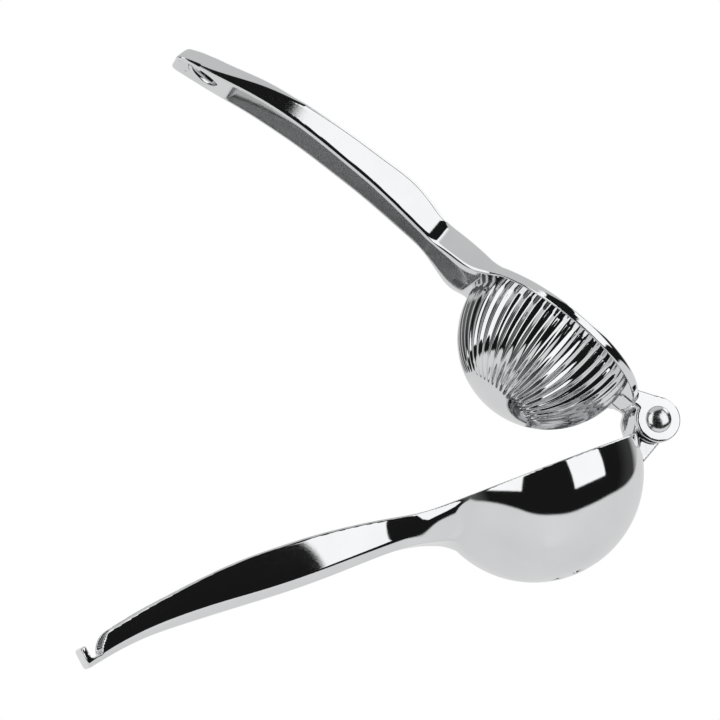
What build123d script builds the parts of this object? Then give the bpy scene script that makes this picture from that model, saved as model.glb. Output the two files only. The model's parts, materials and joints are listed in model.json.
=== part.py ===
from build123d import *
from build123d.topology import SkipClean
import math
import os

# Hinged lemon squeezer, millimetres, +Z up.
#
# Both arms are drawn closed, in one drawing frame: the bowl's centre is the origin, its rim
# lies in z = 0, the hinge is on the +X side and the handles run out along -X. The upper arm
# is then opened about the hinge, and the whole tool is tipped back until the handle's lip
# and the bottom of the bowl stand on z = 0.

# ---- bowl ----
BOWL_RADIUS = 36.0
BOWL_WALL = 2.8
DRAIN_HOLES = 6
DRAIN_HOLE_DIAMETER = 3.6
DRAIN_RING_RADIUS = 7.0

# ---- presser dome and its flange ----
DOME_GAP = 3.2              # between the dome and the inside of the bowl at the rim
DOME_LIFT = 1.25            # the dome's centre above the rim plane
DOME_WALL = 3.2
FLANGE_OVERHANG = 1.1       # how much smaller the flange is than the bowl
FLANGE_THICKNESS = 3.6
FLANGE_SEAT_GAP = 0.3       # flange above the bowl's rim
FLUTES = 48
FLUTE_CUTTER_RADIUS = 1.15
FLUTE_DEPTH = 0.8
FLUTE_POLE_ANGLE = 24.0     # the smooth cap inside the flutes, degrees from the pole
FLUTE_RIM_ANGLE = 84.0

# ---- handles ----
ARM_REACH = 158.5           # bowl centre to the foot of the end lip, outside
HANDLE_WALL = 1.9
NECK_WALL = 5.0             # the upper handle's wall where it runs on into the flange
NECK_WALL_SHARE = 0.115     # share of the way at which it is down to the handle's wall
NEST_GAP = 0.5              # upper handle inside the lower channel, each side
LIP_THICKNESS = 2.0
LIP_LEAN = 6.5              # degrees, outwards from its foot
SCOOP_RADIUS = 8.0          # round end of the side walls, short of the lip
SCOOP_INSET = 13.0          # from the lip's foot to the centre of that round
TIP_GAP = 4.0               # upper handle's nose to the foot of the end lip
NOSE_RADIUS = 4.0
NOSE_DROP = 0.6             # how much faster the upper handle's back falls at the nose
TOP_BEVEL = 1.4             # along both sides of the upper handle's back
TIP_BEVEL = 6.6             # the same bevel at the nose
TIP_BEVEL_START = 0.64      # share of the way at which the bevel begins to grow
TIP_BEVEL_FULL = 0.93       # share of the way at which it has grown
BEVEL_SLOPE = 0.84          # height of that bevel over its width
TAB_LENGTH = 20.5           # solid end of the upper handle
SLOT_LENGTH = 12.6
SLOT_WIDTH = 10.0
SLOT_INSET = 9.6            # slot centre from the nose
SLOT_CHAMFER = 1.3          # round the slot, on the side of the open edges

# ---- hinge ----
HINGE_OFFSET = 7.9          # hinge axis outside the bowl's wall
HINGE_RISE = 1.7            # hinge axis above the rim plane
LUG_RADIUS = 7.6
LUG_THICKNESS = 2.9
TONGUE_WIDTH = 10.8
TONGUE_RADIUS = 6.4
TONGUE_DROP = 11.0          # root of the tongue down the bowl's wall
WEB_TOP = (-0.75, 0.6)      # the web's top corner from the axis, in tongue radii
WEB_FOOT = (0.5, -0.8)      # the web's lower corner from the axis, in tongue radii
LUG_ROOT_DEPTH = 5.0        # how far the lugs run in over the flange
LUG_SHOULDER = 35.0         # degrees from upright to where a lug's back meets its eye
LUG_HEEL = 0.98             # a lug's underside short of the axis, in lug radii
WASHER_THICKNESS = 0.6
WASHER_RADIUS = 6.9
WASHER_PLAY = 0.05          # between the tongue and each washer
PIN_RADIUS = 2.5
PIN_RUNNING_FIT = 0.05      # tongue bore over the pin, on the radius
PIN_LUG_FIT = 0.01          # lug, washer and cap bores over the pin, on the radius
HEAD_RADIUS = 4.4
HEAD_HEIGHT = 2.1
CAP_SOCKET_DEPTH = 1.2

# ---- pose ----
OPENING = 59.5              # degrees between the two rim planes

# ---- values that follow ----
DOME_RADIUS = BOWL_RADIUS - BOWL_WALL - DOME_GAP
FLANGE_RADIUS = BOWL_RADIUS - FLANGE_OVERHANG
FLANGE_TOP = FLANGE_SEAT_GAP + FLANGE_THICKNESS
UPPER_REACH = ARM_REACH - LIP_THICKNESS - TIP_GAP
HINGE_X = BOWL_RADIUS + HINGE_OFFSET
LUG_INNER = TONGUE_WIDTH / 2 + WASHER_PLAY + WASHER_THICKNESS
LUG_OUTER = LUG_INNER + LUG_THICKNESS

# Both handles share their stations, so that one nests in the other. Each row holds
#   share  - of the way from the bowl's wall to the upper handle's nose
#   width  - half width of the upper handle
#   back, rim                - upper handle: height of its back and of its open edges
#   edge, crease, keel       - lower handle: height of its open edges, its crease, its keel
#   waist  - how much slimmer the lower handle is than one that would just take the upper in
STATIONS = (
    (0.00, 15.2, 5.7, -2.9, 0.0, -4.4, -12.3, 2.2),
    (0.04, 12.6, 6.6, -2.5, 0.1, -4.5, -10.2, 2.4),
    (0.08, 10.0, 7.3, -1.9, 0.7, -4.6, -9.1, 1.7),
    (0.115, 7.8, 7.9, -1.5, 1.5, -4.9, -8.4, 0.3),
    (0.15, 7.2, 8.5, -1.1, 2.3, -5.3, -8.1, 0.0),
    (0.18, 7.5, 9.4, -0.9, 2.9, -5.4, -8.1, 0.1),
    (0.26, 8.3, 11.1, -0.4, 4.2, -5.5, -8.2, -0.2),
    (0.36, 9.1, 10.4, 0.0, 5.4, -5.6, -8.4, -0.6),
    (0.46, 9.7, 9.5, -0.2, 6.0, -5.5, -8.2, -0.7),
    (0.57, 10.3, 8.0, -0.6, 6.2, -4.9, -7.5, -0.5),
    (0.67, 10.7, 6.3, -1.6, 5.5, -4.0, -6.8, -0.1),
    (0.77, 10.3, 4.5, -3.3, 4.1, -3.6, -6.2, 0.0),
    (0.88, 9.2, 1.3, -6.0, 2.3, -4.0, -6.0, 0.0),
    (0.95, 8.4, -0.6, -7.5, 0.7, -5.0, -6.7, 0.0),
)
# The lower handle runs on past the nose: share of the way, half width, edge, crease, keel.
LOWER_END = (
    (0.98, 10.4, 0.2, -5.6, -7.2),
    (1.02, 9.5, -0.9, -6.7, -8.1),
)
LIP_ROW = (8.6, -2.0, -7.8, -8.8)       # the lower handle's last section, at the lip
# Both necks run on into the flange and the bowl, and end there.
FLARE_INSET = 8.0
FLARE_HALF_WIDTH = 19.8
FLARE_WAIST = 1.8
FLARE_CREASE = -1.8
FLARE_KEEL = -14.0
KEEL_RATIO = 0.78           # keel width over the handle's width
FLOOR_THICKNESS = 2.0
BACK_THICKNESS = 2.0
LOWER_CAVITY_START = 0.02   # share of the way at which the lower channel begins
UPPER_CAVITY_START = -0.03
ROW_SPACING = 1.0           # least distance between two sections of a channel
LEAST_STEP = 0.4            # least rise between a channel's floor and its wall
CUT_MARGIN = 6.0            # how far a cutting tool stands clear of what it cuts
NOSE_CLEARANCE = 0.02       # the rounding tool's extra width over the nose


def station_x(share):
    return -(BOWL_RADIUS + share * (UPPER_REACH - BOWL_RADIUS))


def section(x, points):
    """A closed outline in the plane across the handle at x, from (y, z) points."""
    outline = Polyline(*[(x, y, z) for y, z in points], close=True)
    return make_face(outline.edges())


def mirrored(points):
    """Right-hand (y, z) points from top to bottom, closed with their mirror images."""
    return list(points) + [(-y, z) for y, z in reversed(points)]


def about_hinge(angle):
    move_in = Pos(HINGE_X, 0, HINGE_RISE)
    return move_in * Rot(0, angle, 0) * move_in.inverse()


def half_ball(radius, flat_z):
    """The lower half of a ball, with its flat face at flat_z."""
    hang_down = (Align.CENTER, Align.CENTER, Align.MAX)
    return Pos(0, 0, flat_z) * Sphere(radius, arc_size1=-90, arc_size2=0, align=hang_down)


def bore(radius, reach):
    """A cutter along the hinge axis, from -reach to +reach."""
    return Pos(HINGE_X, 0, HINGE_RISE) * Rot(90, 0, 0) * Cylinder(radius, 2 * reach)


def drain_cutters():
    deep = 3 * BOWL_WALL
    tool = Cylinder(DRAIN_HOLE_DIAMETER / 2, deep)
    tilt = math.degrees(math.asin(DRAIN_RING_RADIUS / BOWL_RADIUS))
    mid_radius = BOWL_RADIUS - BOWL_WALL / 2
    cutters = []
    for index in range(DRAIN_HOLES):
        turn = 360.0 * (index + 0.5) / DRAIN_HOLES
        cutters.append(Rot(0, 0, turn) * Rot(0, tilt, 0) * Pos(0, 0, -mid_radius) * tool)
    return cutters


def lower_width(upper_half_width, waist):
    return upper_half_width + NEST_GAP + HANDLE_WALL - waist


def lower_rows():
    """(x, half width, edge, crease, keel) down the whole lower handle."""
    _, _, _, _, first_edge, _, _, _ = STATIONS[0]
    flare_width = lower_width(FLARE_HALF_WIDTH, FLARE_WAIST)
    rows = [(-(BOWL_RADIUS - FLARE_INSET), flare_width, first_edge, FLARE_CREASE, FLARE_KEEL)]
    for share, width, _, _, edge, crease, keel, waist in STATIONS:
        rows.append((station_x(share), lower_width(width, waist), edge, crease, keel))
    for share, width, edge, crease, keel in LOWER_END:
        rows.append((station_x(share), width, edge, crease, keel))
    rows.append((-ARM_REACH,) + LIP_ROW)
    return rows


def lip_x(z, depth):
    """Where the leaning lip stands at a height, at a depth in from its outside face."""
    foot = LIP_ROW[-1]
    return -ARM_REACH + depth - (z - foot) * math.tan(math.radians(LIP_LEAN))


def leaning_section(points, depth):
    """A section in the plane of the lip, at a depth in from its outside face."""
    outline = Polyline(*[(lip_x(z, depth), y, z) for y, z in points], close=True)
    return make_face(outline.edges())


def lower_outline(width, edge, crease, keel):
    return mirrored([(width, edge), (width, crease), (width * KEEL_RATIO, keel)])


def lower_channel_outline(width, edge, crease, keel):
    inner = width - HANDLE_WALL
    floor = keel + FLOOR_THICKNESS
    shoulder = max(crease, floor + LEAST_STEP)
    return mirrored([(inner, edge + CUT_MARGIN), (inner, shoulder), (inner * KEEL_RATIO, floor)])


def lower_handle_solid():
    rows = lower_rows()
    faces = [section(x, lower_outline(*sizes)) for x, *sizes in rows[:-1]]
    faces.append(leaning_section(lower_outline(*rows[-1][1:]), 0))
    return loft(faces)


def between(rows, start, end):
    """The rows from x = start down to x = end, with one made by proportion at each end."""
    def row_at(x):
        for before, after in zip(rows, rows[1:]):
            if before[0] >= x >= after[0]:
                part = (before[0] - x) / (before[0] - after[0])
                return tuple(a + part * (b - a) for a, b in zip(before, after))
        raise ValueError("no row at that x")

    inside = [row for row in rows if start - ROW_SPACING > row[0] > end + ROW_SPACING]
    return [row_at(start)] + inside + [row_at(end)]


def lower_channel():
    """The cutter for the upward channel, which stops at the lip."""
    last = -(ARM_REACH - LIP_THICKNESS)
    rows = between(lower_rows(), station_x(LOWER_CAVITY_START), last)
    faces = [section(x, lower_channel_outline(*sizes)) for x, *sizes in rows[:-1]]
    faces.append(leaning_section(lower_channel_outline(*rows[-1][1:]), LIP_THICKNESS))
    return loft(faces)


def end_scoop():
    """The cutter that rounds off both side walls and leaves the lip standing by itself."""
    centre_x = -(ARM_REACH - SCOOP_INSET)
    rows = between(lower_rows(), centre_x, -(ARM_REACH - LIP_THICKNESS))
    _, _, edge, _, _ = rows[0]
    _, _, _, _, end_keel = rows[-1]
    centre_z = edge - SCOOP_RADIUS
    floor = end_keel + FLOOR_THICKNESS + LEAST_STEP
    roof = edge + CUT_MARGIN
    crown = (centre_x, 0, edge)
    half_turn = math.sqrt(0.5) * SCOOP_RADIUS
    shoulder = (centre_x - half_turn, 0, centre_z + half_turn)
    drop = math.sqrt(SCOOP_RADIUS ** 2 - (floor - centre_z) ** 2)
    brink = (centre_x - drop, 0, floor)
    lip_foot = (lip_x(floor, LIP_THICKNESS), 0, floor)
    lip_top = (lip_x(roof, LIP_THICKNESS), 0, roof)
    outline = Polyline(brink, lip_foot, lip_top, (centre_x, 0, roof), crown)
    outline += ThreePointArc(crown, shoulder, brink)
    return extrude(make_face(outline.edges()), 2 * FLARE_HALF_WIDTH, dir=(0, 1, 0), both=True)


def tongue():
    """The single hinge tongue, from the bowl's wall to its eye round the pin."""
    eye = Pos(HINGE_X, 0, HINGE_RISE) * Rot(90, 0, 0) * Cylinder(TONGUE_RADIUS, TONGUE_WIDTH)
    root_x = math.sqrt(BOWL_RADIUS ** 2 - TONGUE_DROP ** 2) - BOWL_WALL / 2
    web_points = [(BOWL_RADIUS - BOWL_WALL / 2, -LEAST_STEP / 2)]
    for run, rise in (WEB_TOP, WEB_FOOT):
        web_points.append((HINGE_X + TONGUE_RADIUS * run, HINGE_RISE + TONGUE_RADIUS * rise))
    web_points.append((root_x, -TONGUE_DROP))
    outline = Polyline(*[(x, 0, z) for x, z in web_points], close=True)
    web = extrude(make_face(outline.edges()), TONGUE_WIDTH / 2, dir=(0, 1, 0), both=True)
    return eye + web


def lower_arm():
    body = half_ball(BOWL_RADIUS, 0) + lower_handle_solid() + tongue()
    body -= lower_channel()
    body -= end_scoop()
    body -= half_ball(BOWL_RADIUS - BOWL_WALL, 0)
    body -= drain_cutters()
    body -= bore(PIN_RADIUS + PIN_RUNNING_FIT, TONGUE_WIDTH)
    return body


def dome_point(radius, angle):
    """A point at a distance from the dome's centre and an angle from its pole, in y = 0."""
    turn = math.radians(angle)
    return Vector(radius * math.sin(turn), 0, DOME_LIFT - radius * math.cos(turn))


def flute_cutter():
    """A round-bottomed groove down the dome, which runs out towards the pole and the flange."""
    surface = DOME_RADIUS + FLUTE_CUTTER_RADIUS
    start = dome_point(surface, FLUTE_POLE_ANGLE)
    middle = dome_point(surface - FLUTE_DEPTH, (FLUTE_POLE_ANGLE + FLUTE_RIM_ANGLE) / 2)
    end = dome_point(surface - FLUTE_DEPTH / 3, FLUTE_RIM_ANGLE)
    path = ThreePointArc(start, middle, end)
    profile = Plane(origin=start, z_dir=path % 0) * Circle(FLUTE_CUTTER_RADIUS)
    return sweep(profile, path=path)


def fluted_dome():
    """The lower half of a ball, made of like wedges with a groove down the middle of each."""
    step = 360.0 / FLUTES
    centre, brink, pole = (0, 0, DOME_LIFT), dome_point(DOME_RADIUS, 90), dome_point(DOME_RADIUS, 0)
    arc = ThreePointArc(brink, dome_point(DOME_RADIUS, 45), pole)
    profile = Line(centre, brink) + arc + Line(pole, centre)
    wedge = Rot(0, 0, -step / 2) * revolve(make_face(profile.edges()), Axis.Z, step)
    grooved = wedge - flute_cutter()
    wedges = [Rot(0, 0, step * index) * grooved for index in range(FLUTES)]
    return wedges[0].fuse(*wedges[1:])


def upper_rows():
    """(x, half width, back, rim) down the whole upper handle."""
    rows = [(-(BOWL_RADIUS - FLARE_INSET), FLARE_HALF_WIDTH, FLANGE_TOP - LEAST_STEP, FLANGE_SEAT_GAP)]
    for share, width, back, rim, _, _, _, _ in STATIONS:
        rows.append((station_x(share), width, back, rim))
    _, width, back, rim = rows[-1]
    _, _, back_before, rim_before = rows[-2]
    run = (UPPER_REACH + rows[-1][0]) / (rows[-2][0] - rows[-1][0])
    nose_back = back + run * (back - back_before) - NOSE_DROP
    nose_rim = rim + run * (rim - rim_before)
    rows.append((-UPPER_REACH, width, nose_back, nose_rim))
    return rows


def bevel_width(x):
    """The bevel along the upper handle's back, which grows towards the nose."""
    start, full = station_x(TIP_BEVEL_START), station_x(TIP_BEVEL_FULL)
    part = min(1.0, max(0.0, (start - x) / (start - full)))
    return TOP_BEVEL + part * (TIP_BEVEL - TOP_BEVEL)


def upper_handle_solid():
    faces = []
    for x, width, back, rim in upper_rows():
        bevel = bevel_width(x)
        points = [(width - bevel, back), (width, back - BEVEL_SLOPE * bevel), (width, rim)]
        faces.append(section(x, mirrored(points)))
    bar = loft(faces)
    end_width = upper_rows()[-1][1]
    nose = Box(2 * UPPER_REACH, 2 * end_width + NOSE_CLEARANCE, 4 * BOWL_RADIUS)
    nose = fillet(nose.edges().filter_by(Axis.Z).group_by(Axis.X)[0], NOSE_RADIUS)
    tip = Pos(-UPPER_REACH, 0, 0) * Box(4 * NOSE_RADIUS, 4 * FLARE_HALF_WIDTH, 4 * BOWL_RADIUS)
    return bar - (tip - nose)


def upper_wall(x):
    """The upper handle's side wall, which thickens towards the flange."""
    start, full = station_x(NECK_WALL_SHARE), station_x(0)
    part = min(1.0, max(0.0, (x - start) / (full - start)))
    return HANDLE_WALL + part * (NECK_WALL - HANDLE_WALL)


def upper_channel():
    faces = []
    end = -(UPPER_REACH - TAB_LENGTH)
    for x, width, back, rim in between(upper_rows(), station_x(UPPER_CAVITY_START), end):
        inner = width - upper_wall(x)
        roof = back - BACK_THICKNESS
        bevel = bevel_width(x) - TOP_BEVEL / 2
        points = [(inner - bevel, roof), (inner, roof - BEVEL_SLOPE * bevel), (inner, rim - CUT_MARGIN)]
        faces.append(section(x, mirrored(points)))
    return loft(faces)


def slot_outline(x, z, spread):
    """The oval slot's outline at a height, grown by a spread on every side."""
    return Pos(x, 0, z) * Ellipse(SLOT_LENGTH / 2 + spread, SLOT_WIDTH / 2 + spread)


def hang_slot():
    """The cutters for the slot and for the bevel round its mouth."""
    middle = -(UPPER_REACH - SLOT_INSET)
    _, _, _, rim = between(upper_rows(), middle, -UPPER_REACH)[0]
    through = extrude(slot_outline(middle, 0, 0), BOWL_RADIUS, both=True)
    narrow = slot_outline(middle, rim + SLOT_CHAMFER, 0)
    wide = slot_outline(middle, rim - CUT_MARGIN, SLOT_CHAMFER + CUT_MARGIN)
    return [through, loft([narrow.face(), wide.face()])]


def lugs():
    """Two plates that straddle the tongue, from the flange to their eyes."""
    lean = math.radians(LUG_SHOULDER)
    outline_points = [
        (FLANGE_RADIUS - LUG_ROOT_DEPTH, FLANGE_SEAT_GAP),
        (FLANGE_RADIUS - LUG_ROOT_DEPTH, FLANGE_TOP),
        (HINGE_X - LUG_RADIUS * math.sin(lean), HINGE_RISE + LUG_RADIUS * math.cos(lean)),
        (HINGE_X, HINGE_RISE),
        (HINGE_X - LUG_RADIUS * LUG_HEEL, FLANGE_SEAT_GAP),
    ]
    outline = Polyline(*[(x, LUG_INNER, z) for x, z in outline_points], close=True)
    web = extrude(make_face(outline.edges()), LUG_THICKNESS, dir=(0, 1, 0))
    eye_middle = LUG_INNER + LUG_THICKNESS / 2
    eye = Pos(HINGE_X, eye_middle, HINGE_RISE) * Rot(90, 0, 0) * Cylinder(LUG_RADIUS, LUG_THICKNESS)
    far = web + eye
    return [far, mirror(far, about=Plane.XZ)]


def upper_arm():
    """The wedges of the dome stay separate faces, so its volume is worked out closely."""
    flange_middle = FLANGE_SEAT_GAP + FLANGE_THICKNESS / 2
    flange = Pos(0, 0, flange_middle) * Cylinder(FLANGE_RADIUS, FLANGE_THICKNESS)
    flange = fillet(flange.edges().group_by(Axis.Z)[-1], FLANGE_THICKNESS / 3)
    hollow = DOME_RADIUS - DOME_WALL
    stand_up = (Align.CENTER, Align.CENTER, Align.MIN)
    with SkipClean():
        handle = upper_handle_solid() - upper_channel() - hang_slot()
        body = handle + flange + fluted_dome()
        body -= half_ball(hollow, DOME_LIFT)
        body -= Pos(0, 0, DOME_LIFT) * Cylinder(hollow, BOWL_RADIUS, align=stand_up)
        for lug in lugs():
            body += lug
        body -= bore(PIN_RADIUS + PIN_LUG_FIT, BOWL_RADIUS)
    return body


def rivet_head(outward):
    """A domed head with its flat face on y = 0, bulging towards outward (+1 or -1)."""
    ball_radius = (HEAD_RADIUS ** 2 + HEAD_HEIGHT ** 2) / (2 * HEAD_HEIGHT)
    brim = math.degrees(math.asin(1 - HEAD_HEIGHT / ball_radius))
    stand_up = (Align.CENTER, Align.CENTER, Align.MIN)
    return Rot(-90 * outward, 0, 0) * Sphere(ball_radius, arc_size1=brim, align=stand_up)


def hinge_pin():
    seat = Pos(HINGE_X, -LUG_OUTER, HINGE_RISE)
    shank_length = 2 * LUG_OUTER + CAP_SOCKET_DEPTH
    stand_up = (Align.CENTER, Align.CENTER, Align.MIN)
    shank = Rot(-90, 0, 0) * Cylinder(PIN_RADIUS, shank_length, align=stand_up)
    return seat * (shank + rivet_head(-1))


def pin_cap():
    seat = Pos(HINGE_X, LUG_OUTER, HINGE_RISE)
    return seat * rivet_head(1) - bore(PIN_RADIUS + PIN_LUG_FIT, LUG_OUTER + CAP_SOCKET_DEPTH)


def washer(side):
    middle = side * (TONGUE_WIDTH / 2 + WASHER_PLAY + WASHER_THICKNESS / 2)
    disc = Pos(HINGE_X, middle, HINGE_RISE) * Rot(90, 0, 0) * Cylinder(WASHER_RADIUS, WASHER_THICKNESS)
    return disc - bore(PIN_RADIUS + PIN_LUG_FIT, BOWL_RADIUS)


def resting_tilt():
    """Degrees by which the tool tips back until the lip's foot is as low as the bowl."""
    foot_drop = -LIP_ROW[-1]
    reach = math.hypot(ARM_REACH, foot_drop)
    return math.degrees(math.asin(BOWL_RADIUS / reach) - math.atan2(foot_drop, ARM_REACH))


def placed(lower_pieces, upper_pieces):
    """Opens the upper pieces and stands the tool on z = 0, centred on its own box."""
    stand = Rot(0, -resting_tilt(), 0)
    opened = stand * about_hinge(OPENING)
    pieces = {name: stand * shape for name, shape in lower_pieces.items()}
    pieces.update({name: opened * shape for name, shape in upper_pieces.items()})
    boxes = [shape.bounding_box() for shape in pieces.values()]
    middle_x = (min(box.min.X for box in boxes) + max(box.max.X for box in boxes)) / 2
    shift = Pos(-middle_x, 0, -min(box.min.Z for box in boxes))
    hinge = shift * stand * Pos(HINGE_X, 0, HINGE_RISE)
    return {name: shift * shape for name, shape in pieces.items()}, hinge.position


def main():
    lower_pieces = {"lower_arm": lower_arm()}
    upper_pieces = {
        "upper_arm": upper_arm(),
        "hinge_pin": hinge_pin(),
        "pin_cap": pin_cap(),
        "washer_near": washer(-1),
        "washer_far": washer(1),
    }
    pieces, hinge = placed(lower_pieces, upper_pieces)
    os.makedirs("parts", exist_ok=True)
    for name, shape in pieces.items():
        export_step(shape, f"parts/{name}.step")
        print(name, round(shape.volume, 1), "solids", len(shape.solids()))
    print("hinge axis at", [round(value, 4) for value in hinge], "tilt", round(resting_tilt(), 3))


main()
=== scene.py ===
import json
import math

import bpy
import numpy as np
from bpy.props import FloatProperty, FloatVectorProperty, IntProperty, PointerProperty
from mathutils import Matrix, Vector


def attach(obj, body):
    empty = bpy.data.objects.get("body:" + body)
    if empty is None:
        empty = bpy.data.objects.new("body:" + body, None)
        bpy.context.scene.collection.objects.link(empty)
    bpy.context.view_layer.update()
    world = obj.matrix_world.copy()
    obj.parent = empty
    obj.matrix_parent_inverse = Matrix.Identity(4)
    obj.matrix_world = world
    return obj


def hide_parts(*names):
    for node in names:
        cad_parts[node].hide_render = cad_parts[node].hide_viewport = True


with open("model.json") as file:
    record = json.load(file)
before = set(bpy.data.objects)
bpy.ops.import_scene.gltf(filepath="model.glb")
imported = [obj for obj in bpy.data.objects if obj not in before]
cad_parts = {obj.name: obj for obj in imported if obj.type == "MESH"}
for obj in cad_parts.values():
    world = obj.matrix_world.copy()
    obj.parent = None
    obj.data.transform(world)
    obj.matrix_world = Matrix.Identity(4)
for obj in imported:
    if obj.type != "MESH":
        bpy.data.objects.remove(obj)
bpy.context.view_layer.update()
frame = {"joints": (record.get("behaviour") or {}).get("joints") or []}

bl_info = {
    "name": "Hinged lemon squeezer",
    "version": (1, 0, 0),
    "blender": (4, 5, 0),
    "location": "View3D > Sidebar > Squeezer",
    "description": "Builds a chromed lemon squeezer of two cast arms on one rivet",
    "category": "Add Mesh",
}

HINGE = np.array([1000 * value for value in frame["joints"][0]["pos_m"]])
MM = 0.001
ROOM = 1.5                             # kept free round each casting in its grid

# Both handles, from the bowl's wall to the upper handle's nose. Each row holds the share of
# the way, the upper handle's half width, the heights of its back and rim, the heights of the
# lower handle's open edges, crease and keel, and by how much the lower handle is slimmer than
# one that would just take the upper one in. Millimetres, with both arms closed.
STATIONS = (
    (0.00, 15.2, 5.7, -2.9, 0.0, -4.4, -11.9, 2.2),
    (0.04, 12.6, 6.6, -2.5, 0.1, -4.5, -10.1, 2.4),
    (0.08, 10.0, 7.3, -1.9, 0.7, -4.6, -9.1, 1.7),
    (0.115, 7.8, 7.9, -1.5, 1.5, -4.9, -8.4, 0.3),
    (0.13, 7.2, 8.2, -1.3, 1.9, -5.1, -8.2, -0.1),
    (0.15, 7.2, 8.5, -1.1, 2.3, -5.3, -8.1, 0.0),
    (0.18, 7.5, 9.4, -0.9, 2.9, -5.4, -8.1, 0.1),
    (0.26, 8.3, 11.1, -0.4, 4.2, -5.5, -8.2, -0.2),
    (0.36, 9.1, 10.4, 0.0, 5.4, -5.6, -8.4, -0.6),
    (0.46, 9.7, 9.5, -0.2, 6.0, -5.5, -8.2, -0.62),
    (0.57, 10.3, 8.0, -0.6, 6.2, -4.9, -7.5, -0.5),
    (0.67, 10.7, 6.3, -1.6, 5.5, -4.0, -6.8, -0.1),
    (0.77, 10.3, 4.5, -3.3, 4.1, -3.6, -6.2, 0.0),
    (0.88, 9.2, 1.3, -6.0, 2.3, -4.0, -6.0, 0.0),
    (0.95, 8.4, -0.6, -7.5, 0.7, -5.0, -6.7, 0.0),
)
# The lower handle's last rows: share, half width, edge, crease, keel.
LOWER_END = (
    (0.98, 10.4, 0.2, -5.6, -7.2),
    (1.02, 9.5, -0.9, -6.7, -8.1),
)
LIP_ROW = (8.6, -2.0, -7.8, -8.8)
FLARE_INSET = 8.0                      # from the bowl's outside to the necks' inner ends
FLARE_WIDTH = 19.8                     # half width of the upper neck there
FLARE_ROW = (20.4, -1.8, -13.2)        # half width, crease and keel of the lower neck there


def size(name, default, text, low=0.0):
    return FloatProperty(name=name, description=text, default=default, min=low, precision=4,
                         subtype="DISTANCE", unit="LENGTH")


def angle(name, degrees, text):
    return FloatProperty(name=name, description=text, default=math.radians(degrees),
                         subtype="ANGLE", unit="ROTATION")


def colour(name, default, text):
    return FloatVectorProperty(name=name, description=text, default=default, size=4,
                               subtype="COLOR", min=0.0, max=1.0)


def share(name, default, text):
    return FloatProperty(name=name, description=text, default=default, min=0.0, max=1.0,
                         subtype="FACTOR")


class SqueezerShape(bpy.types.PropertyGroup):
    bowl_radius: size("Bowl radius", 0.036, "Outside radius of the bowl")
    bowl_wall: size("Bowl wall", 0.0028, "Thickness of the bowl's wall")
    drain_holes: IntProperty(name="Drain holes", description="Holes round the bowl's bottom",
                             default=6, min=0, max=24)
    drain_hole_radius: size("Drain hole radius", 0.0018, "Radius of each drain hole")
    drain_ring_radius: size("Drain ring radius", 0.007, "Radius of the ring of drain holes")
    arm_reach: size("Arm reach", 0.1585, "From the bowl's centre to the foot of the lip")
    lip_lean: angle("Lip lean", 6.5, "How far the lip leans outwards")
    handle_wall: size("Handle wall", 0.0019, "Thickness of both handles' side walls")
    neck_wall: size("Neck wall", 0.005, "Thickness of the upper one's walls at the flange")
    floor_thickness: size("Channel floor", 0.002, "Thickness under each handle's channel")
    upper_reach: size("Upper reach", 0.1525, "From the bowl's centre to the upper handle's nose")
    tab_length: size("Tab length", 0.0205, "Length of the upper handle's solid end")
    slot_length: size("Slot length", 0.0126, "Length of the oval hanging slot")
    slot_width: size("Slot width", 0.0088, "Width of the hanging slot")
    slot_chamfer: size("Slot chamfer", 0.0013, "Bevel round the slot's mouth")
    slot_inset: size("Slot inset", 0.0096, "From the nose to the middle of the slot")
    nose_radius: size("Nose radius", 0.004, "Rounding of the upper handle's end corners")
    top_bevel: size("Top bevel", 0.0014, "Bevel along both sides of the upper handle's back")
    tip_bevel: size("Tip bevel", 0.0046, "The same bevel towards the nose")
    flange_radius: size("Flange radius", 0.0349, "Outside radius of the flange")
    flange_seat: size("Flange seat", 0.0003, "Height of the flange above the bowl's rim")
    flange_thickness: size("Flange thickness", 0.0036, "Thickness of the flange")
    dome_radius: size("Dome radius", 0.030, "Outside radius of the pressing dome")
    dome_wall: size("Dome wall", 0.0032, "Thickness of the dome's wall")
    dome_lift: size("Dome lift", 0.00125, "Height of the dome's centre above the bowl's rim")
    flutes: IntProperty(name="Flutes", description="Grooves round the dome", default=48,
                        min=6, max=96)
    flute_depth: size("Flute depth", 0.0008, "Depth of each groove")
    flute_start: angle("Flute start", 21.0, "Angle from the pole at which the grooves begin")
    flute_full: angle("Flute full depth", 34.0, "Angle from the pole at which they are deepest")
    hinge_offset: size("Hinge offset", 0.0079, "Hinge axis outside the bowl's wall")
    hinge_rise: size("Hinge rise", 0.0017, "Hinge axis above the bowl's rim")
    lug_radius: size("Lug radius", 0.0076, "Radius of each lug's eye")
    lug_inner: size("Lug inside", 0.00605, "Middle plane to the inside of each lug")
    lug_outer: size("Lug outside", 0.00895, "Middle plane to the outside of each lug")
    tongue_radius: size("Tongue radius", 0.0064, "Radius of the tongue's eye")
    tongue_width: size("Tongue width", 0.0108, "Width of the tongue between the washers")
    pin_radius: size("Pin radius", 0.0025, "Radius of the rivet's shank")
    head_radius: size("Head radius", 0.0044, "Radius of the rivet's heads")
    head_height: size("Head height", 0.0021, "Height of the rivet's heads")
    washer_radius: size("Washer radius", 0.0069, "Radius of each washer")
    washer_thickness: size("Washer thickness", 0.0006, "Thickness of each washer")
    washer_middle: size("Washer place", 0.00575, "Middle plane to the middle of each washer")
    opening: angle("Opening", 59.5, "Angle between the two rim planes")
    tilt: angle("Tilt", 9.930, "How far the whole tool leans back")
    lower_step: size("Bowl arm mesh", 0.00058, "Spacing of the lower arm's mesh", low=0.0003)
    upper_step: size("Press arm mesh", 0.00036, "Spacing of the upper arm's mesh", low=0.0003)
    run_step: size("Handle mesh", 0.0008, "Spacing of the mesh along both handles", low=0.0003)


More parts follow.
